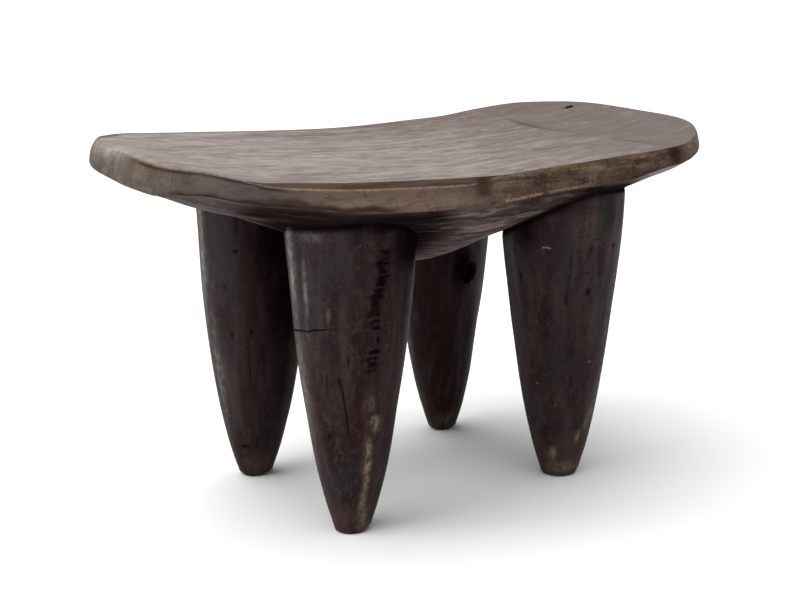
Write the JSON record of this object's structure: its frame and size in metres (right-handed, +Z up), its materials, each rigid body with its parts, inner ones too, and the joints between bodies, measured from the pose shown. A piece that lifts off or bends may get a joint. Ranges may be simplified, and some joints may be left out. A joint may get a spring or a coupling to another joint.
{
  "type": "carved stool headrest",
  "caption": "Low carved wooden stool or headrest with a saddle-curved seat, boat-shaped underside and stout tapering legs.",
  "frame": {"origin": "on the floor under the middle of the seat, at the centre of the overall box", "axes": "+Z up; +X along the length of the seat, towards the end that dips least; +Y across the seat, towards the back edge"},
  "size_m": [0.607, 0.306, 0.3647],
  "materials": {
    "seat": "weathered and worn, waxed rim",
    "leg_front_left": "dark oiled patina, cracked",
    "leg_front_right": "dark oiled patina, scratched",
    "leg_rear_left": "dark oiled patina, pitted",
    "leg_rear_right": "dark oiled patina, knot hole"
  },
  "bodies": {
    "root": {"seat": "seat", "leg_front_left": "leg_front_left", "leg_front_right": "leg_front_right", "leg_rear_left": "leg_rear_left", "leg_rear_right": "leg_rear_right"}
  },
  "joints": []
}
